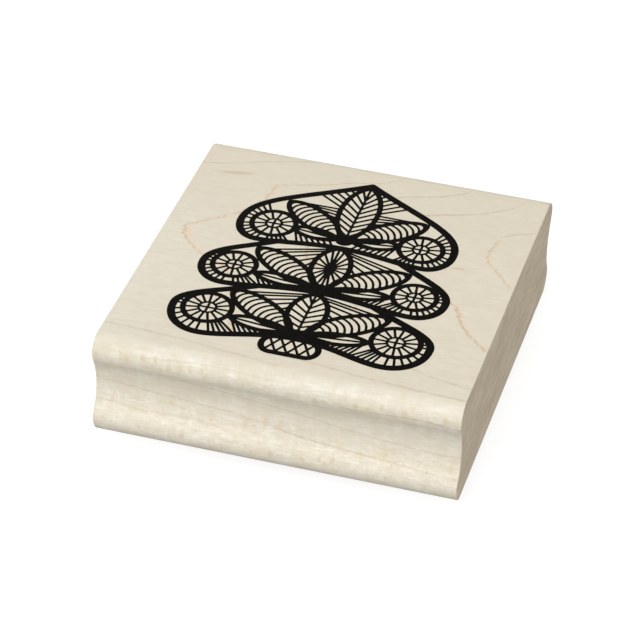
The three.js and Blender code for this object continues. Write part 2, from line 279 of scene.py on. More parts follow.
LONG = [
    ([(-16, 22.2), (-10, 24), (-3, 27), (2, 29), (5.5, 32)], 0.22, 0, 0.7),
    ([(4, 24), (8, 26), (12, 27.5), (14.5, 28.7), (16.5, 30), (17.7, 32)], 0.24, 0, 0.85),
    ([(11, 20.5), (15, 22), (20, 24), (24, 26.5), (26.5, 29), (27.7, 32)], 0.24, 0, 0.85),
    ([(25.3, 17.4), (27, 19), (31, 21), (32.5, 21.6)], 0.22, 0, 0.8),
    ([(-33, 24.8), (-26, 26.5), (-20, 29), (-12, 31.6)], 0.35, 0, 0.45),
    ([(-33, -28.4), (-20, -28.9), (-10, -30), (0, -31.4)], 0.35, 0, 0.5),
    ([(-6, -27.6), (2, -28.5), (10, -29.5), (20, -30.5), (33, -31.2)], 0.3, 0, 0.55),
    ([(16, -23.9), (20, -25), (25, -26.5), (33, -27.8)], 0.25, 0, 0.55),
]
EDGE = [
    ([(-33, 11.1), (-20, 9.9), (-8, 8.9), (5, 6.9), (20, 5.8), (33, 5.0)], 0.20, 0, 0.85),
    ([(-17, 14.4), (0, 12.0), (10, 10.4), (20, 9.2), (33, 8.7)], 0.20, 0, 0.8),
    ([(6, 15.9), (15, 15.6), (22, 16.2), (33, 15.4)], 0.24, 0, 1.0),
    ([(-33, 7.0), (-22, 6.2), (-15, 6.4), (-6, 5.3)], 0.20, 0, 0.45),
    ([(-33, 18.3), (-24, 17.8), (-10, 18.5), (0, 18.0)], 0.18, 0, 0.35),
]
KNOT_SPECKS = [  # small brown flecks on the top: middle, half length, half width, slope, strength
    ((-24.6, 23.5), 4.2, 0.75, 0.20, 0.95),
    ((21.0, 6.1), 1.7, 0.50, 0.10, 0.85),
]
RINGS_APART = 1.7  # in mm of depth, on the sawn ends
RING_TILT = 9.0  # how far along X a ring takes to sink by 1 mm
RING_WANDER = 4.0  # how far in mm a ring strays from an even arc
RING_CENTRE = 9.5  # where along Y the arcs are highest


def ring_marks(look, runs, across, spread, rings):
    """How strongly the surface is marked by growth lines, and by the stain beside them."""
    teeth = look.noise(look.scaled(0.45, 1.5, 1.5), 4, 0.7)
    wavy = look.noise(look.scaled(0.16, 0.25, 0.2, shift=(2, 8, 1)), 1)
    broken = look.ramp(look.noise(look.scaled(0.6, 0.8, 0.5, shift=(6, 1, 3)), 2), 0.30, 0.52, 0.45, 1.0)
    jag = look.math("MULTIPLY_ADD", teeth, 3.0 * spread, -1.5 * spread)
    jag = look.total(jag, look.math("MULTIPLY_ADD", wavy, 1.2 * spread, -0.6 * spread))
    place = look.total(across, jag)
    lines, stains = [], [0.0]
    for points, width, stain, strength in rings:
        gap = look.math("SUBTRACT", place, look.curve(runs, points))
        fade = min(0.8, (points[-1][0] - points[0][0]) * 0.4)
        ends = look.band(runs, points[0][0] + fade, points[-1][0] - fade, fade)
        near = look.ramp(look.math("ABSOLUTE", gap), 0.25 * width, 1.3 * width, 1.0, 0.0)
        lines.append(look.product(near, ends, strength))
        if stain:
            side = look.product(look.ramp(gap, -0.2, 0.0), look.ramp(gap, 0.0, 1.3 * stain, 1.0, 0.0))
            stains.append(look.product(side, ends, strength))
    return look.product(look.most(*lines), broken), look.most(*stains)


def ring_depth(look):
    """Growth rings as a depth below the top in mm: soft arcs across the ends, slanting along X."""
    aside = look.product(look.math("SUBTRACT", look.y, RING_CENTRE), 0.9)
    bow = look.math("SQRT", look.math("MULTIPLY_ADD", aside, aside, 9.0))
    slope = look.math("DIVIDE", look.total(look.x, bow), -RING_TILT)
    drift = look.noise(look.scaled(0.045, 0.08, 0.11), 2)
    stray = look.product(drift, RING_WANDER)
    return look.math("SUBTRACT", look.total(slope, stray, WOOD_TOP), look.z)


def spotted(look, height, middle, wide, high, size):
    """A row of soft round spots about one height, one to each cell, of the given share of the cell."""
    stray = look.noise(look.scaled(1.3, 1.3, 1.3, shift=(middle, 0, 0)), 2)
    along = look.total(look.math("MULTIPLY_ADD", look.x, 1 / wide, middle), look.product(stray, 0.5))
    up = look.math("MULTIPLY_ADD", height, 1 / high, 0.3 - middle / high)
    up = look.total(up, look.product(stray, 0.4))
    spots = look.ramp(look.cells(look.vector(along, up, 0.5), 0.7), 0.35 * size, size, 1.0, 0.0)
    return look.product(spots, look.band(height, middle - 0.35 * high, middle + 0.35 * high, 0.15 * high))


def specks(look):
    """Small brown flecks on the top that taper to both ends."""
    marks = []
    for (x, y), long, wide, slope, strength in KNOT_SPECKS:
        run = look.math("DIVIDE", look.math("SUBTRACT", look.x, x), long)
        middle = look.math("MULTIPLY_ADD", look.x, slope, y - slope * x)
        off = look.math("DIVIDE", look.math("SUBTRACT", look.y, middle), wide)
        reach = look.total(look.product(run, run), look.product(off, off))
        marks.append(look.product(look.ramp(reach, 0.0, 1.0, 1.0, 0.0), strength))
    return look.most(*marks)


def maple_face():
    """The long faces: plain pale maple on the top, and the livelier look of the moulded edges, painted
    paler than the top partly as painted light, with a painted highlight on the bead and the bulge.
    """
    look = Look("maple_face", roughness=0.5, specular=0.3)
    height = look.math("SUBTRACT", look.z, WOOD_FOOT)
    front = look.ramp(look.math("ABSOLUTE", look.y), 31.2, 33.0)
    on_top = look.ramp(look.z, WOOD_TOP - 0.7, WOOD_TOP - 0.1)
    round_line, round_stain = ring_marks(look, look.y, look.x, 1.0, ROUND)
    long_line, _ = ring_marks(look, look.x, look.y, 0.35, LONG)
    edge_line, _ = ring_marks(look, look.x, height, 0.25, EDGE)
    patch = look.ramp(look.noise(look.scaled(0.35, 0.7, 0.5, shift=(0, 7, 0)), 2), 0.30, 0.54, 0.30, 1.0)

    fibre = look.noise(look.scaled(0.06, 1.7, 1.7), 4, 0.62)
    cloud = look.noise(look.scaled(0.06, 0.12, 0.12), 3)
    mottle = look.noise(look.scaled(0.5, 1.1, 1.1, shift=(4, 4, 4)), 3, 0.6)
    pores = look.ramp(look.noise(look.scaled(0.45, 5.5, 5.5), 2), 0.60, 0.74)
    sapwood = look.product(look.ramp(look.x, -33, -16, 0.45, 0.0), look.ramp(look.y, 0, 26, 1.0, 0.0))
    heartwood = look.ramp(look.y, -6, 36, 0.0, 0.55)

    # The moulded edges are cut nearly square to the rings: pale cross ripples, flecks of ray cells, short
    # streaks along the fibre and a few fine growth lines. Their colours are also painted paler than the
    # top's, as painted light for the stronger light on these faces, and the bead and bulge carry painted
    # highlight streaks.
    ripple = look.noise(look.scaled(0.62, 0.03, 0.16), 3, 0.6)
    drift = look.noise(look.scaled(0.16, 0.3, 0.42, shift=(9, 0, 2)), 2)
    streaks = look.noise(look.scaled(0.42, 1.0, 3.0, shift=(1, 0, 7)), 4, 0.7)
    grit = look.ramp(look.noise(look.scaled(1.5, 0.5, 3.6, shift=(0, 0, 3)), 2, 0.6), 0.58, 0.70)
    pale = look.ramp(look.math("MULTIPLY_ADD", drift, 0.8, ripple), 0.80, 1.12)
    milk = look.ramp(look.noise(look.scaled(0.55, 0.2, 0.42, shift=(3, 0, 5)), 3, 0.6), 0.50, 0.66)
    speckled = look.most(look.band(height, 15.6, 17.8, 1.2), look.band(height, 2.4, 8.4, 1.4))
    shade = look.noise(look.scaled(0.3, 0.1, 0.3, shift=(7, 7, 0)), 1)
    vary = look.ramp(shade, 0.30, 0.50, 0.45, 1.0)
    # Weight of the darker fibre streaks and of the painted highlight streaks: full on the bead and the
    # bulge.
    streak_and_highlight_weight = look.math("MULTIPLY_ADD", speckled, 0.65, 0.35)
    flecks = look.product(spotted(look, height, 17.2, 2.3, 2.9, 0.30), vary)
    faint = spotted(look, height, 16.8, 1.7, 3.2, 0.36)
    faint = look.product(faint, look.ramp(shade, 0.40, 0.60, 1.0, 0.3))
    tufts = look.product(spotted(look, height, 7.9, 2.7, 4.2, 0.30), vary)
    dots = look.product(spotted(look, height, 3.9, 2.4, 2.6, 0.28), vary)

    color = look.mix(cloud, tint(0.755, 0.70, 0.585), tint(0.705, 0.645, 0.52))
    color = look.mix(sapwood, color, tint(0.79, 0.755, 0.655))
    color = look.mix(heartwood, color, tint(0.665, 0.605, 0.485))
    # Painted light: these tints are paler than the top's, partly the wood's own figure and partly standing
    # in for the stronger light on the moulded faces.
    edge = look.mix(drift, tint(0.70, 0.64, 0.515), tint(0.755, 0.70, 0.585))
    edge = look.mix(pale, edge, tint(0.80, 0.765, 0.68))
    edge = look.mix(look.product(milk, 0.40), edge, tint(0.84, 0.825, 0.765))
    dull = look.product(look.ramp(streaks, 0.42, 0.66, 0.0, 0.55), streak_and_highlight_weight)
    edge = look.mix(dull, edge, tint(0.64, 0.575, 0.455))
    # Painted highlight: near-white streaks in the pattern of the fibre, strongest on the bead and the
    # bulge where the light catches the moulding.
    painted_highlight_streaks = look.product(look.ramp(streaks, 0.34, 0.50, 0.36, 0.0), streak_and_highlight_weight)
    edge = look.mix(painted_highlight_streaks, edge, tint(0.87, 0.84, 0.76))
    color = look.mix(look.product(front, 0.9), color, edge)
    color = look.mix(look.ramp(mottle, 0.30, 0.70, 0.0, 0.34), color, tint(0.62, 0.56, 0.44))
    color = look.mix(look.ramp(fibre, 0.35, 0.75, 0.0, 0.20), color, tint(0.62, 0.555, 0.43))
    color = look.mix(look.product(pores, 0.16), color, tint(0.46, 0.39, 0.28))
    color = look.mix(look.product(round_stain, patch, on_top, 0.80), color, tint(0.76, 0.58, 0.42))
    lines = look.product(look.most(round_line, long_line), on_top, 0.46)
    color = look.mix(lines, color, tint(0.40, 0.285, 0.165))
    color = look.mix(look.product(specks(look), on_top, 0.50), color, tint(0.50, 0.365, 0.17))
    color = look.mix(look.product(edge_line, front, 0.40), color, tint(0.40, 0.32, 0.22))
    color = look.mix(look.product(grit, speckled, front, 0.34), color, tint(0.48, 0.39, 0.26))
    color = look.mix(look.product(flecks, front, 0.70), color, tint(0.61, 0.53, 0.34))
    color = look.mix(look.product(faint, front, 0.62), color, tint(0.66, 0.56, 0.38))
    color = look.mix(look.product(tufts, front, 0.62), color, tint(0.65, 0.53, 0.36))
    color = look.mix(look.product(dots, front, 0.60), color, tint(0.60, 0.50, 0.33))
    rough = look.line(fibre, 0.3, 0.7, 0.46, 0.60)
    bumps = [(fibre, 0.02), (look.math("SUBTRACT", 1.0, pores), 0.012), (ripple, 0.05)]
    return look.finish(color, rough, bumps)


def maple_end():
    """Sawn end grain: the rings as soft arcs, cut pores as dots, and faint upright marks of the saw."""
    look = Look("maple_end", roughness=0.72, specular=0.2)
    depth = ring_depth(look)
    wide = look.noise(look.vector(look.product(depth, 0.55), look.product(look.y, 0.075), 0.0), 2, 0.5)
    streaks = look.noise(look.vector(look.product(depth, 1.5), look.product(look.y, 0.16), 3.0), 3, 0.6)
    cloud = look.noise(look.scaled(0.1, 0.10, 0.16), 2)
    mottle = look.noise(look.scaled(0.6, 0.55, 0.8, shift=(2, 0, 5)), 3, 0.6)
    dots = look.ramp(look.cells(look.scaled(3.0, 3.0, 3.0)), 0.10, 0.34, 1.0, 0.0)
    saw = look.noise(look.scaled(1.0, 2.2, 0.10), 3, 0.6)
    uneven = look.noise(look.vector(look.product(depth, 0.45), look.product(look.y, 0.05), 7.0), 2, 0.5)
    rings = look.math("DIVIDE", depth, RINGS_APART)
    turn = look.math("FRACT", look.math("MULTIPLY_ADD", uneven, 2.2, rings))
    ring = look.product(look.ramp(turn, 0.55, 0.93), look.ramp(turn, 0.93, 1.0, 1.0, 0.0))
    color = look.mix(look.ramp(wide, 0.32, 0.68), tint(0.69, 0.59, 0.45), tint(0.58, 0.49, 0.365))
    color = look.mix(look.ramp(streaks, 0.42, 0.78, 0.0, 0.5), color, tint(0.49, 0.40, 0.295))
    color = look.mix(look.ramp(cloud, 0.42, 0.7, 0.0, 0.5), color, tint(0.72, 0.635, 0.495))
    color = look.mix(look.ramp(mottle, 0.4, 0.75, 0.0, 0.35), color, tint(0.50, 0.41, 0.30))
    color = look.mix(look.product(ring, 0.18), color, tint(0.36, 0.27, 0.18))
    color = look.mix(look.product(dots, 0.16), color, tint(0.30, 0.23, 0.15))
    color = look.mix(look.ramp(saw, 0.5, 0.8, 0.0, 0.25), color, tint(0.68, 0.59, 0.46))
    rough = look.line(streaks, 0.3, 0.7, 0.66, 0.8)
    bumps = [(saw, 0.05), (look.math("SUBTRACT", 1.0, dots), 0.03)]
    return look.finish(color, rough, bumps)


# ---- Ink, films, foam and rubber ----------------------------------------------------------------


def black_ink():
    look = Look("index_ink", roughness=0.6, specular=0.03)
    fibre = look.noise(look.scaled(0.05, 2.2, 2.2), 3, 0.6)
    mottle = look.noise(look.scaled(1.4, 1.4, 1.4), 2)
    worn = look.ramp(fibre, 0.4, 0.8, 0.0, 0.7)
    color = look.mix(worn, tint(0.0018, 0.0014, 0.0006), tint(0.0045, 0.0036, 0.0020))
    rough = look.line(mottle, 0.3, 0.7, 0.48, 0.64)
    return look.finish(color, rough, [(fibre, 0.012), (mottle, 0.008)])


def clear_film():
    look = Look("adhesive_film", roughness=0.3, specular=0.5)
    cloud = look.noise(look.scaled(0.4, 0.4, 0.4), 2)
    color = look.mix(cloud, tint(0.74, 0.71, 0.63), tint(0.80, 0.78, 0.71))
    return look.finish(color, look.line(cloud, 0.3, 0.7, 0.26, 0.4), [(cloud, 0.01)])


def grey_foam():
    look = Look("grey_foam", roughness=0.95, specular=0.15)
    cell = look.cells(look.scaled(4.2, 4.2, 4.2))
    tiny = look.cells(look.scaled(9.0, 9.0, 9.0))
    depth = look.math("MULTIPLY_ADD", tiny, 0.4, cell)
    # Painted shade: the grey darkens towards the bottoms of the cells' pits, following the same depth as
    # the bump.
    color = look.mix(look.ramp(depth, 0.2, 1.0), tint(0.085, 0.088, 0.09), tint(0.24, 0.245, 0.25))
    return look.finish(color, None, [(depth, 0.12)])


def red_rubber():
    look = Look("red_rubber", roughness=0.62, specular=0.4)
    cloud = look.noise(look.scaled(0.16, 0.16, 0.16), 3)
    grain = look.noise(look.scaled(6.0, 6.0, 6.0), 2, 0.6)
    bloom = look.ramp(look.noise(look.scaled(0.5, 0.5, 0.9, shift=(5, 2, 0)), 4, 0.65), 0.5, 0.75)
    color = look.mix(cloud, tint(0.30, 0.042, 0.030), tint(0.22, 0.028, 0.022))
    color = look.mix(look.product(bloom, 0.3), color, tint(0.42, 0.17, 0.14))
    color = look.mix(look.ramp(grain, 0.45, 0.8, 0.0, 0.3), color, tint(0.12, 0.016, 0.013))
    return look.finish(color, look.line(bloom, 0, 1, 0.55, 0.75), [(grain, 0.03), (cloud, 0.03)])


# ---- The picture: a generic fir tree of three tiers, each with leaves and two spoked wheels -----

BOLD, FIRM, FINE = 1.35, 0.95, 0.42  # line widths in mm, at the size of the index print
TRUNK_LINE = FIRM * 1.15
LEAF_LINES = {  # where the first and last line end on a leaf's sides, how far they slant, and their root
    "veins": (0.13, 0.84, 0.08, lambda share: share - 0.08),
    "rays": (0.08, 0.92, 0, lambda share: 0.5),
    "fan": (0.55, 0.85, 0, lambda share: 0),
}
HUB_SHARE = 0.36  # a wheel's hub against the wheel
DIE_SCALE = 0.9  # the die's picture against the index print
PICTURE_MIDDLE = np.array((0.0, -0.5))


def bezier(*points, steps=12):
    """The curve that the points steer, at steps + 1 places."""
    layer = np.repeat(np.array(points, float)[:, None, :], steps + 1, 1)
    t = np.linspace(0, 1, steps + 1)[None, :, None]
    while len(layer) > 1:
        layer = (1 - t) * layer[:-1] + t * layer[1:]
    return layer[0]


def along(line, share):
    """The point at a share of a line's length."""
    steps = np.linalg.norm(np.diff(line, axis=0), axis=1)
    run = np.concatenate([[0], np.cumsum(steps)])
    return np.array([np.interp(share * run[-1], run, line[:, axis]) for axis in (0, 1)])


class Picture:
    """The picture's strokes, each a line of points in mm and its width."""

    def __init__(self):
        self.strokes = []

    def pair(self, line, width):
        """A stroke on both sides of the tree."""
        line = np.array(line, float)
        self.strokes += [(line, width), (line * (-1, 1), width)]

    def leaf(self, base, tip, half, fill, count):
        """A pointed leaf with the lines inside it. Returns its two sides."""
        base, tip = np.array(base, float), np.array(tip, float)
        run = tip - base
        out = np.array((-run[1], run[0])) / np.linalg.norm(run) * half * 4 / 3
        near, far = base + run * 0.18, base + run * 0.86
        left = bezier(base, near + out, far + out, tip, steps=20)
        right = bezier(base, near - out, far - out, tip, steps=20)
        self.pair(left, FIRM)
        self.pair(right, FIRM)
        if fill == "arcs":
            for share in np.linspace(0.16, 0.86, count):
                start, end = along(left, share), along(right, share)
                self.pair(bezier(start, (start + end) / 2 + run * 0.13, end, steps=6), FINE)
            return left, right
        self.pair([base, tip], FINE)
        first, last, slant, root = LEAF_LINES[fill]
        for share in np.linspace(first, last, count):
            for side in (left, right):
                self.pair([base + run * root(share), along(side, share + slant)], FINE)
        return left, right

    def ring(self, centre, radius, width):
        turn = np.linspace(0, tau, 33)
        self.pair(np.c_[centre[0] + radius * np.cos(turn), centre[1] + radius * np.sin(turn)], width)

    def wheel(self, centre, radius, spokes, rim):
        """A wheel with a crossed hub and spokes, tied to the tier's rim by short rungs."""
        centre = np.array(centre, float)
        core = radius * HUB_SHARE
        self.ring(centre, radius, FIRM)
        self.ring(centre, core, FINE)
        for k in range(spokes):
            turn = tau * (k + 0.5) / spokes
            away = np.array((cos(turn), sin(turn)))
            self.pair([centre + away * core, centre + away * radius], FINE)
        for arm in np.array(((core, 0), (0, core))):
            self.pair([centre - arm, centre + arm], FINE)
        for end in rim:
            away = (end - centre) / np.linalg.norm(end - centre)
            self.pair([centre + away * radius, end], FINE)

    def hatch(self, start, start_span, end, end_span, count):
        """Straight lines between two lines."""
        for share, other in zip(np.linspace(*start_span, count), np.linspace(*end_span, count)):
            self.pair([along(start, share), along(end, other)], FINE)

    def tier(self, top, neck, wide, lobe, mid, heart, arm, blade, wheel, knot, crown, skirt):
        """One tier: its outline, a leaf in the middle, a leaf, a blade and a wheel on each side, hatching.

        heart, arm and blade are leaves. wheel is its centre, radius, spokes and first rung's place on the
        side. knot is the height and radius of the dot in the middle. crown and skirt are hatching.
        """
        drop = top - wide[1]
        side = bezier(
            (neck, top),
            (neck + 0.55 * (wide[0] - neck), top - 0.42 * drop),
            (wide[0] + 0.2, wide[1] + 0.42 * drop),
            wide,
            steps=24,
        )
        turn = bezier(
            wide,
            (wide[0], wide[1] - 0.62 * (wide[1] - lobe[1])),
            (lobe[0] + 0.52 * (wide[0] - lobe[0]), lobe[1]),
            lobe,
            steps=14,
        )
        under = bezier(lobe, (lobe[0] - 4.5, lobe[1]), (lobe[0] * 0.42, mid), (0, mid), steps=20)
        self.pair(np.vstack([side, turn[1:], under[1:]]), BOLD)
        centre = self.leaf(*heart)
        upper = self.leaf(*arm)
        lower = self.leaf(*blade)
        middle, radius, spokes, start = wheel
        rim = [along(side, share) for share in np.linspace(start, 0.97, 6)]
        rim += [along(turn, share) for share in np.linspace(0.16, 0.97, 6)]
        rim += [along(under, share) for share in np.linspace(0.12, 0.38, 5)]
        self.wheel(middle, radius, spokes, rim)
        for target, start_span, end_span, count in crown:
            self.hatch(centre[1], start_span, {"side": side, "arm": upper[0]}[target], end_span, count)
        self.hatch(lower[1], skirt[0], under, skirt[1], skirt[2])
        self.strokes.append((np.array([(0, knot[0]), (0, knot[0] + 0.01)]), 2 * knot[1]))

    def trunk(self, top, foot, half):
        corner = bezier((half, top), (half + 2.1, top - 1.2), (half + 1.2, foot), (half - 0.7, foot))
        self.pair(np.vstack([corner, [(0, foot)]]), TRUNK_LINE)
        for x in (-3, -1, 1, 3):
            self.pair([(x - 1.2, foot), (x + 1.2, top + 0.3)], FINE)


def fir_tree():
    picture = Picture()
    picture.tier(
        top=26.9, neck=0, wide=(19.3, 9.3), lobe=(15, 3.9), mid=5.6,
        heart=((0, 8.6), (0, 26), 3.4, "veins", 9),
        arm=((1.4, 9), (12.6, 17.4), 2.6, "arcs", 10),
        blade=((1.4, 8.2), (9.6, 9.3), 1.45, "fan", 1),
        wheel=((13.4, 9.6), 3.9, 13, 0.72),
        knot=(8.3, 1.7),
        crown=[("side", (0.55, 0.88), (0.36, 0.1), 6), ("arm", (0.36, 0.52), (0.5, 0.92), 4)],
        skirt=((0.16, 0.92), (0.9, 0.48), 7),
    )
    picture.tier(
        top=4.6, neck=10.6, wide=(21.6, -5.6), lobe=(16.6, -10.9), mid=-8.8,
        heart=((0, -7.6), (0, 5.4), 3.3, "rays", 8),
        arm=((1.4, -6.8), (13.6, 1.2), 2.6, "arcs", 10),
        blade=((1.4, -7.6), (12, -6.4), 1.4, "fan", 1),
        wheel=((16.1, -5), 3.8, 13, 0.62),
        knot=(-7.7, 1.5),
        crown=[("arm", (0.58, 0.95), (0.38, 0.86), 5)],
        skirt=((0.26, 0.95), (0.82, 0.4), 8),
    )
    picture.tier(
        top=-10.2, neck=10.4, wide=(22.4, -19.4), lobe=(16, -26.3), mid=-23.1,
        heart=((0, -21.8), (0, -9.4), 3.3, "veins", 7),
        arm=((1.4, -20.8), (13.8, -12.6), 2.6, "arcs", 10),
        blade=((1.4, -21.6), (12, -20.4), 1.5, "fan", 1),
        wheel=((16.5, -18.9), 4.2, 15, 0.62),
        knot=(-22, 1.6),
        crown=[("arm", (0.58, 0.95), (0.38, 0.86), 5)],
        skirt=((0.18, 0.95), (0.86, 0.4), 9),
    )
    picture.trunk(-23.6, -27.9, 3.7)
    return picture.strokes


# ---- Outlines of the strokes ----------------------------------------------------------------------

GRID = 0.06  # in mm, as all lengths here
MARGIN = 2  # of the grid, round the strokes
FAR = 0.5  # distances are cut off here
SMALLEST_GAP = 0.03  # in mm2; smaller gaps between lines fill with ink
OUTLINE_WITHIN = 0.006  # how far a simplified outline may lie from the true one
CORNERS = ((0, 0), (1, 0), (1, 1), (0, 1))  # of a grid cell, in order round it


class Field:
    """Distance to the strokes' edge on a grid, below zero inside them."""

    def __init__(self, strokes, scale):
        lines = [(line - PICTURE_MIDDLE) * scale + PICTURE_MIDDLE for line, _ in strokes]
        ends = np.vstack(lines)
        self.low = ends.min(0) - MARGIN
        shape = np.ceil((ends.max(0) + MARGIN - self.low) / GRID).astype(int) + 1
        self.values = np.full(shape, FAR)
        for line, (_, width) in zip(lines, strokes):
            for start, end in zip(line[:-1], line[1:]):
                self.draw(start, end, width * scale / 2)
        for axis in (0, 1):
            self.soften(axis)
        self.slope = np.stack(np.gradient(self.values, GRID))

    def draw(self, start, end, reach):
        """Lowers the field round one straight piece of a stroke."""
        margin = reach + FAR
        first = np.floor((np.minimum(start, end) - margin - self.low) / GRID).astype(int).clip(0)
        last = np.ceil((np.maximum(start, end) + margin - self.low) / GRID).astype(int)
        window = tuple(slice(a, b) for a, b in zip(first, last))
        spots = np.stack(np.mgrid[window]) * GRID + self.low[:, None, None]
        run = (end - start)[:, None, None]
        away = spots - start[:, None, None]
        share = ((away * run).sum(0) / (run * run).sum()).clip(0, 1)
        distance = np.sqrt(((away - share * run) ** 2).sum(0)) - reach
        np.minimum(self.values[window], distance, out=self.values[window])

    def soften(self, axis):
        """Rounds the corners where strokes meet, as ink and moulded rubber do."""
        total = self.values * 0.4
        for step, share in ((1, 0.24), (2, 0.06)):
            total += share * (np.roll(self.values, step, axis) + np.roll(self.values, -step, axis))
        self.values = total

    def outward(self, points):
        """Unit vectors away from the strokes, at the nearest grid point."""
        spots = np.rint((points - self.low) / GRID).astype(int)
        slope = self.slope[:, spots[:, 0], spots[:, 1]].T
        return slope / np.linalg.norm(slope, axis=1)[:, None].clip(1e-6)

    def loops(self):
        """Closed lines round the strokes, by marching squares, each turning left round its material."""
        inside = self.values < 0
        near, far = inside[:-1], inside[1:]
        start = near[:, :-1]
        cells = np.argwhere((start != near[:, 1:]) | (start != far[:, :-1]) | (start != far[:, 1:]))
        level = np.stack([self.values[cells[:, 0] + i, cells[:, 1] + j] for i, j in CORNERS])
        # Each side of a cell has a number: even along the first axis, odd along the second.
        size = inside.shape[1]
        base = cells[:, 0] * size + cells[:, 1]
        sides = np.stack([2 * base, 2 * (base + size) + 1, 2 * (base + 1), 2 * base + 1])
        following = next_sides(level, sides)
        places = self.crossings(cells, level, sides)
        loops = []
        while following:
            first, current = following.popitem()
            loop = [first]
            while current != first:
                loop.append(current)
                current = following.pop(current)
            loops.append(np.array([places[side] for side in loop]))
        return [simplified(loop) for loop in loops if abs(area(loop)) > SMALLEST_GAP]

    def crossings(self, cells, level, sides):
        """Where the strokes' edge crosses each side, by the side's number."""
        places = {}
        for side in range(4):
            start, end = np.array(CORNERS[side]), np.array(CORNERS[(side + 1) % 4])
            crossed = (level[side] < 0) != (level[(side + 1) % 4] < 0)
            first, second = level[side][crossed], level[(side + 1) % 4][crossed]
            share = (first / (first - second))[:, None]
            spot = cells[crossed] + start + share * (end - start)
            places.update(zip(sides[side][crossed].tolist(), map(tuple, spot * GRID + self.low)))
        return places


def next_sides(level, sides):
    """The side by which the edge leaves a cell, for each side by which it comes in."""
    covered = level < 0
    joined = level.sum(0) < 0  # in a cell with two covered corners opposite each other
    leaves = covered & ~np.roll(covered, -1, 0)
    enters = ~covered & np.roll(covered, -1, 0)
    following = {}
    for side in range(4):
        for order, chosen in (((3, 2, 1), ~joined), ((1, 2, 3), joined)):
            open_cells = leaves[side] & chosen
            for step in order:
                other = (side + step) % 4
                met = open_cells & enters[other]
                following.update(zip(sides[side][met].tolist(), sides[other][met].tolist()))
                open_cells = open_cells & ~met
    return following


def area(loop):
    """The area inside a closed line that turns left, or minus it where the line turns right."""
    x, y = loop.T
    return (x @ np.roll(y, -1) - y @ np.roll(x, -1)) / 2


def simplified(loop):
    """The loop with only the points that its shape needs."""
    far = int(np.argmax(((loop - loop[0]) ** 2).sum(1)))
    kept = {0, far}
    closed = np.vstack([loop, loop[:1]])
    spans = [(0, far), (far, len(loop))]
    while spans:
        first, last = spans.pop()
        if last - first < 2:
            continue
        run = closed[last] - closed[first]
        away = closed[first + 1:last] - closed[first]
        reach = np.linalg.norm(run)
        off = abs(away @ (-run[1], run[0])) / reach if reach else np.linalg.norm(away, axis=1)
        middle = int(np.argmax(off))
        if off[middle] > OUTLINE_WITHIN:
            middle += first + 1
            kept.add(middle)
            spans += [(first, middle), (middle, last)]
    return loop[sorted(kept)]


def filled(sets):
    """Triangles over sets of loops, each with a code that says which sets it lies inside, a bit each."""
    points, edges, marks = [], [], []
    for mark, loops in enumerate(sets):
        for loop in loops:
            start = len(points)
            points += [Vector(p) for p in loop.tolist()]
            count = len(loop)
            edges += [(start + k, start + (k + 1) % count) for k in range(count)]
            marks += [1 << mark] * count
    over_hull = 0  # Blender's code for triangles over all that lies between the points
    epsilon = 1e-9
    found = delaunay_2d_cdt(points, edges, [], over_hull, epsilon, True)
    spots, lines, faces, origins, sources, _ = found
    if len(spots) != len(points):
        raise ValueError("outlines cross")
    back = [origin[0] for origin in origins]
    faces = [[back[v] for v in face] for face in faces]
    wall = {}
    for (a, b), source in zip(lines, sources):
        marked = [marks[s] for s in source if s < len(marks)]
        if marked:
            wall[frozenset((back[a], back[b]))] = marked[0]
    sharing = {}
    for index, face in enumerate(faces):
        for k in range(3):
            sharing.setdefault(frozenset((face[k], face[(k + 1) % 3])), []).append(index)
    codes = {}
    outer = [(owners[0], wall.get(edge, 0)) for edge, owners in sharing.items() if len(owners) == 1]
    queue = outer[:1]
    while queue:
        index, code = queue.pop()
        if index in codes:
            continue
        codes[index] = code
        face = faces[index]
        for k in range(3):
            edge = frozenset((face[k], face[(k + 1) % 3]))
            beyond = code ^ wall.get(edge, 0)
            queue += [(other, beyond) for other in sharing[edge] if other not in codes]
    return [(face, codes[index]) for index, face in enumerate(faces)]


def cap_over(loops):
    """Triangles over the inside of one set of loops."""
    return [face for face, code in filled([loops]) if code]


def walls(sizes, rise, start=0):
    """Quads from each closed ring of points to its copy, whose points come so many places later."""
    faces = []
    for size in sizes:
        for k in range(size):
            a, b = start + k, start + (k + 1) % size
            faces.append([a, b, b + rise, a + rise])
        start += size
    return faces


def flipped(faces, shift=0):
    """The faces over points that come so many places later, seen from the other side."""
    return [[v + shift for v in reversed(face)] for face in faces]


def shifted(faces, shift):
    return [[v + shift for v in face] for face in faces]


# ---- Meshes -----------------------------------------------------------------------------------------


def make_piece(name, points, faces, look, replaced, sharp=40):
    """A piece from points in mm. Edges sharper than so many degrees stay crisp."""
    mesh = bpy.data.meshes.new(name)
    mesh.from_pydata([Vector(p) * MM for p in points], [], faces)
    mesh.materials.append(look)
    bm = bmesh.new()
    bm.from_mesh(mesh)
    bmesh.ops.recalc_face_normals(bm, faces=bm.faces)
    for edge in bm.edges:
        edge.smooth = edge.is_manifold and edge.calc_face_angle(0) < radians(sharp)
    for face in bm.faces:
        face.smooth = True
    bm.to_mesh(mesh)
    bm.free()
    piece = bpy.data.objects.new(name, mesh)
    bpy.context.scene.collection.objects.link(piece)
    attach(piece, "root")
    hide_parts(replaced)
    return piece


def raised(field, near, far, spread):
    """A closed solid over the strokes, between the levels near and far. At far it is wider by spread."""
    loops = field.loops()
    cap = cap_over(loops)
    flat = np.vstack(loops)
    wide = flat + field.outward(flat) * spread
    count = len(flat)
    points = [(x, y, near) for x, y in flat] + [(x, y, far) for x, y in wide]
    return points, cap + flipped(cap, count) + walls(map(len, loops), count)


# ---- The trim outline -------------------------------------------------------------------------------

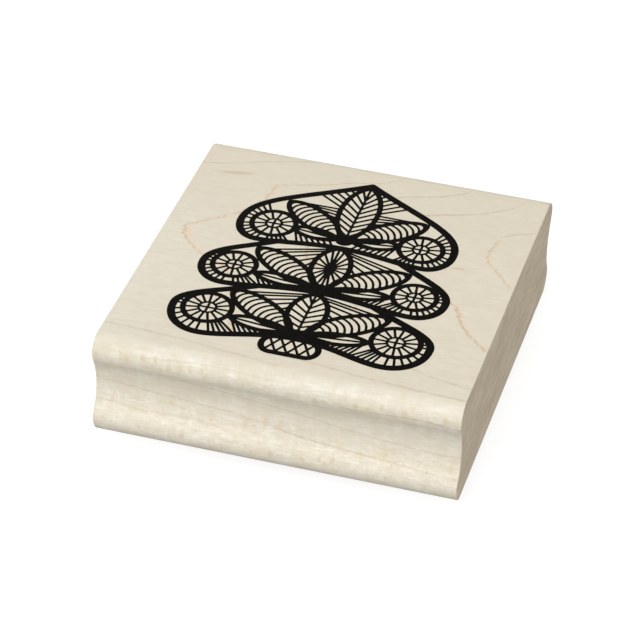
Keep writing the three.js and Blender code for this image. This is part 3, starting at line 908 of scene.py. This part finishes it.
TRIM_HALF = [
    (0, 27.2), (9.5, 22), (18.4, 13.2), (19.4, 7.6), (18.6, 2.6), (20.6, -1.4), (21.4, -5.6),
    (20.2, -10.4), (20.7, -14), (22.1, -18.4), (20.2, -23.4), (14.6, -25.9), (7.6, -26.1), (0, -26.9),
]


def tangent(before, here, after, near, far):
    """The slope of the curve at one point, from its neighbours and its gaps to them."""
    return (here - before) / near - (after - before) / (near + far) + (after - here) / far


def trim_outline(steps):
    """A closed centripetal Catmull-Rom curve through the trim points, turning left."""
    knots = np.array(TRIM_HALF + [(-x, y) for x, y in TRIM_HALF[-2:0:-1]])
    line = []
    for k in range(len(knots)):
        p = [knots[(k + step) % len(knots)] for step in (-1, 0, 1, 2)]
        gaps = [np.linalg.norm(p[i + 1] - p[i]) ** 0.5 for i in range(3)]
        out = tangent(*p[:3], *gaps[:2]) * gaps[1]
        into = tangent(*p[1:], *gaps[1:]) * gaps[1]
        for t in np.arange(steps) / steps:
            square, cube = t * t, t * t * t
            line.append(
                (2 * cube - 3 * square + 1) * p[1]
                + (cube - 2 * square + t) * out
                + (3 * square - 2 * cube) * p[2]
                + (cube - square) * into
            )
    line = np.array(line)
    return line if area(line) > 0 else line[::-1]


def outward(loop):
    """Unit normals of a closed line that turns left."""
    run = np.roll(loop, -1, 0) - np.roll(loop, 1, 0)
    return np.c_[run[:, 1], -run[:, 0]] / np.linalg.norm(run, axis=1)[:, None]


def stacked(rings, levels):
    """A closed solid from rings of equally many points, one above the other."""
    count = len(rings[0])
    layers = len(rings) - 1
    cap = cap_over([rings[0]])
    points = [(x, y, level) for ring, level in zip(rings, levels) for x, y in ring]
    return points, flipped(cap) + shifted(cap, layers * count) + walls([count] * layers, count)


# ---- Pieces -------------------------------------------------------------------------------------------

ARRIS = 0.22  # radius that sanding leaves on the sawn edges
ARRIS_STEPS = 5
SAWN = 0.7  # faces that look this much along X are end grain
END_RIM = 0.5  # flat rims on the sawn ends and on the faces beside them keep the arris crisp
FACE_RIM = 0.4
SECTION_STEPS = 10  # in each curve of the moulding
LENGTH_STEPS = 24
INK_SPREAD = 0.02  # how much wider the print is at its foot than at its top
RELIEF = 0.9  # height of the die's picture above its sheet
ROOT_FLARE = 0.07  # how much wider a moulded line is at its root
TRIM_STEPS = 8  # from one trim point to the next
FOAM_TRIM_STEPS = 26  # finer, for the cut cells
FOAM_LEVELS = 9
FOAM_WAIST = 0.22  # how far the foam's side is drawn in
FOAM_PITS = 0.16  # depth of the cut cells
PITS_PER_MM = 2.6


def half_section():
    """The moulding from the middle of its top to the middle of its underside, as (y, z) in mm."""
    foot, top = WOOD_FOOT, WOOD_TOP
    corners = [
        ((31.0, top), (31.45, top), (31.9, top - 0.16)),
        ((31.9, top - 0.16), (33.3, foot + 18.85), (34.25, foot + 18.0), (34.25, foot + 16.6)),
        ((34.25, foot + 16.6), (34.25, foot + 15.9), (34.0, foot + 15.23), (33.84, foot + 14.96)),
        ((33.84, foot + 14.96), (33.08, foot + 13.65), (32.4, foot + 11.8), (32.4, foot + 9.6)),
        ((32.4, foot + 9.6), (32.45, foot + 7.0), (33.4, foot + 5.6)),
        ((33.4, foot + 5.6), (34.0, foot + 4.75), (34.4, foot + 4.1), (34.4, foot + 3.2)),
        ((34.4, foot + 3.2), (34.4, foot + 2.0), (33.6, foot + 0.7), (32.2, foot)),
    ]
    level = [(y, top) for y in (0, 8, 16, 24, 29.6, 30.6, 31.0)]
    curves = [bezier(*corner, steps=SECTION_STEPS)[1:] for corner in corners]
    underside = [(y, foot) for y in (31.6, 24, 16, 8, 0)]
    return np.vstack([level, *curves, underside])


def make_wood():
    """The block: its moulding drawn along X, with a small arris round both sawn ends."""
    half = half_section()
    section = np.vstack([half, half[-2:0:-1] * (-1, 1)])
    section = section if area(section) > 0 else section[::-1]
    normals = outward(section)
    end = [(HALF_WIDTH, ARRIS + END_RIM)]
    for k in range(ARRIS_STEPS + 1):
        turn = pi / 2 * k / ARRIS_STEPS
        end.append((HALF_WIDTH - ARRIS * (1 - cos(turn)), ARRIS * (1 - sin(turn))))
    reach = HALF_WIDTH - ARRIS - FACE_RIM
    middle = [(x, 0.0) for x in np.linspace(reach, -reach, LENGTH_STEPS + 1)]
    run = end + middle + [(-x, inset) for x, inset in reversed(end)]
    points = [(x, y, z) for x, inset in run for y, z in section - normals * inset]
    count = len(section)
    layers = len(run) - 1
    cap = cap_over([section - normals * (ARRIS + END_RIM)])
    faces = walls([count] * layers, count) + flipped(cap) + shifted(cap, layers * count)
    piece = make_piece("wood_block", points, faces, maple_face(), "wood_mount", sharp=24)
    piece.data.materials.append(maple_end())
    for polygon in piece.data.polygons:
        if abs(polygon.normal.x) > SAWN:
            polygon.material_index = 1


def make_print(strokes):
    """The index print, as a thin film of ink with clean sides."""
    low, high = levels_of("index_print")
    points, faces = raised(Field(strokes, scale=1.0), high, low, INK_SPREAD)
    make_piece("print_film", points, faces, black_ink(), "index_print")


def make_die(strokes):
    """The moulded rubber: the sheet and the picture standing on it, in one skin."""
    foot, top = levels_of("rubber_die")
    sheet = foot + RELIEF
    field = Field(strokes, DIE_SCALE)
    relief = field.loops()
    trim = trim_outline(TRIM_STEPS)
    flat = np.vstack(relief)
    roots = flat + field.outward(flat) * ROOT_FLARE
    count, edge = len(flat), len(trim)
    points = []
    for outline, level in ((flat, foot), (roots, sheet), (trim, sheet), (trim, top)):
        points += [(x, y, level) for x, y in outline]
    faces = []
    for face, code in filled([relief, [trim]]):
        if code:
            on_relief = code & 1
            faces += flipped([face], shift=0 if on_relief else count)
    faces += walls(map(len, relief), count) + walls([edge], edge, 2 * count)
    faces += shifted(cap_over([trim]), 2 * count + edge)
    make_piece("moulded_die", points, faces, red_rubber(), "rubber_die")


def make_film(name, node):
    """A sheet of clear adhesive film, cut to the trim line."""
    low, high = levels_of(node)
    trim = trim_outline(TRIM_STEPS)
    points, faces = stacked([trim, trim], [low, high])
    make_piece(name, points, faces, clear_film(), node)


def make_foam():
    """Foam cut to the trim line: its side is drawn in between the films and pitted by cut cells."""
    low, high = levels_of("foam_cushion")
    trim = trim_outline(FOAM_TRIM_STEPS)
    normals = outward(trim)
    levels = np.linspace(low, high, FOAM_LEVELS)
    rings = []
    for level in levels:
        share = (level - low) / (high - low)
        bow = sin(pi * share)
        waist = FOAM_WAIST * bow ** 0.8
        inset = []
        for x, y in trim:
            spot = Vector((x, y, level)) * PITS_PER_MM
            pit = noise.noise(spot) * 0.5 + noise.noise(spot * 2.3) * 0.5
            inset.append(waist + FOAM_PITS * max(0.0, pit) * bow)
        rings.append(trim - normals * np.array(inset)[:, None])
    points, faces = stacked(rings, levels)
    piece = make_piece("foam_pad", points, faces, grey_foam(), "foam_cushion", sharp=60)


strokes = fir_tree()
make_wood()
make_print(strokes)
make_die(strokes)
make_film("mount_film", "mount_tape")
make_film("die_film", "die_tape")
make_foam()
